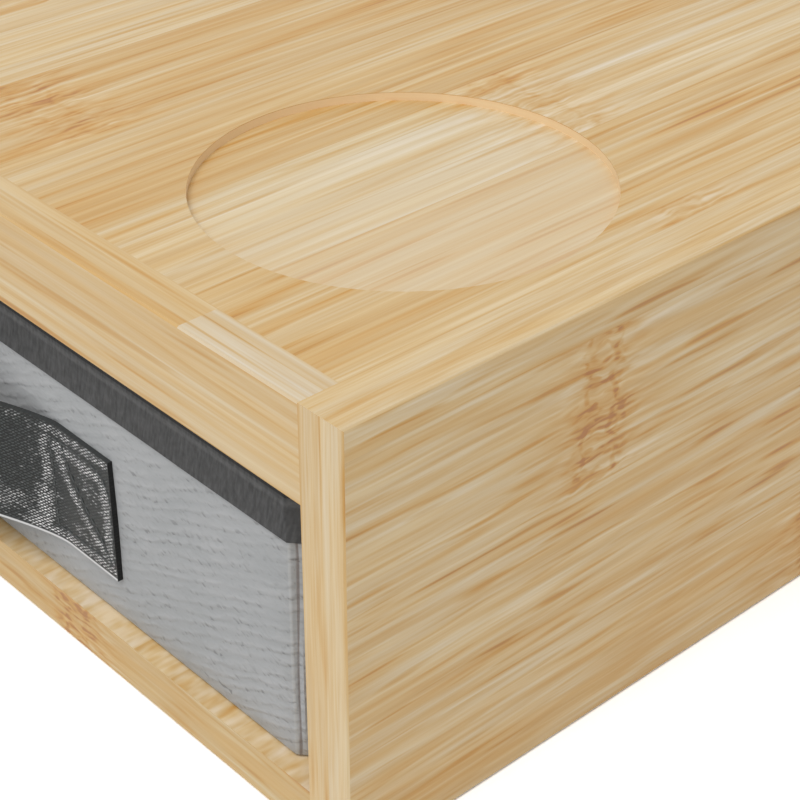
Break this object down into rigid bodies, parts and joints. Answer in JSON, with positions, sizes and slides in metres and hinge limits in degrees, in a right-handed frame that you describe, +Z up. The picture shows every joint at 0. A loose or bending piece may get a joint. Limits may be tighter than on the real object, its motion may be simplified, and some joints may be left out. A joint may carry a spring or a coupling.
{
  "type": "clip-on bedside shelf",
  "caption": "Flat bamboo box shelf with a cup recess and a fabric drawer with a webbing pull, hung on a bed frame's upright board by screw clamps on one side.",
  "frame": {"origin": "centre of the bamboo box's underside", "axes": "+X to the right as the drawer's front is faced, with the clamps on the -X side; +Y to the back, the drawer opens towards -Y; +Z up"},
  "size_m": [0.4565, 0.361, 0.104],
  "materials": {
    "bamboo": "clear satin lacquer",
    "dowel_wood": "plain beech",
    "insert_brass": "turned",
    "grey_fabric": "embossed non-woven",
    "charcoal_tape": "woven binding tape",
    "charcoal_webbing": "woven webbing",
    "greyboard": "plain",
    "black_steel": "fine black powder coat",
    "zinc_steel": "bright zinc plate",
    "black_rubber": "matt",
    "black_plastic": "fine moulded grain"
  },
  "bodies": {
    "shelf": {"right_side_panel": "bamboo", "left_side_panel": "bamboo", "top_panel": "bamboo", "bottom_panel": "bamboo", "back_panel": "bamboo", "front_rail": "bamboo", "carcass_dowels": "dowel_wood", "threaded_inserts": "insert_brass", "front_bracket": "black_steel", "rear_bracket": "black_steel", "bracket_screws": "zinc_steel", "front_jaw_liner": "black_rubber", "rear_jaw_liner": "black_rubber", "front_clamp_nut": "zinc_steel", "rear_clamp_nut": "zinc_steel"},
    "drawer": {"drawer_cover": "grey_fabric", "drawer_binding": "charcoal_tape", "drawer_handle": "charcoal_webbing", "drawer_base_board": "grey_fabric", "drawer_front_board": "greyboard", "drawer_back_board": "greyboard", "drawer_left_board": "greyboard", "drawer_right_board": "greyboard"},
    "front_pad": {"front_pressure_plate": "zinc_steel", "front_pad_rubber": "black_rubber"},
    "front_screw": {"front_clamp_screw": "zinc_steel", "front_knob": "black_plastic"},
    "rear_pad": {"rear_pressure_plate": "zinc_steel", "rear_pad_rubber": "black_rubber"},
    "rear_screw": {"rear_clamp_screw": "zinc_steel", "rear_knob": "black_plastic"}
  },
  "joints": [
    {"name": "drawer_slide", "type": "slide", "parent": "shelf", "child": "drawer", "axis": [0, -1, 0], "range_m": [0, 0.23]},
    {"name": "front_pad_travel", "type": "slide", "parent": "shelf", "child": "front_pad", "axis": [1, 0, 0], "range_m": [0, 0.045]},
    {"name": "front_screw_turn", "type": "hinge", "parent": "front_pad", "child": "front_screw", "pos_m": [-0.21455, -0.11, 0.049], "axis": [1, 0, 0], "range_deg": [0, 10800]},
    {"name": "rear_pad_travel", "type": "slide", "parent": "shelf", "child": "rear_pad", "axis": [1, 0, 0], "range_m": [0, 0.045]},
    {"name": "rear_screw_turn", "type": "hinge", "parent": "rear_pad", "child": "rear_screw", "pos_m": [-0.21455, 0.11, 0.049], "axis": [1, 0, 0], "range_deg": [0, 10800]}
  ],
  "couplings": [
    {"joint": "front_pad_travel", "follows": "front_screw_turn", "m_per_rad": 0.00023873},
    {"joint": "rear_pad_travel", "follows": "rear_screw_turn", "m_per_rad": 0.00023873}
  ]
}
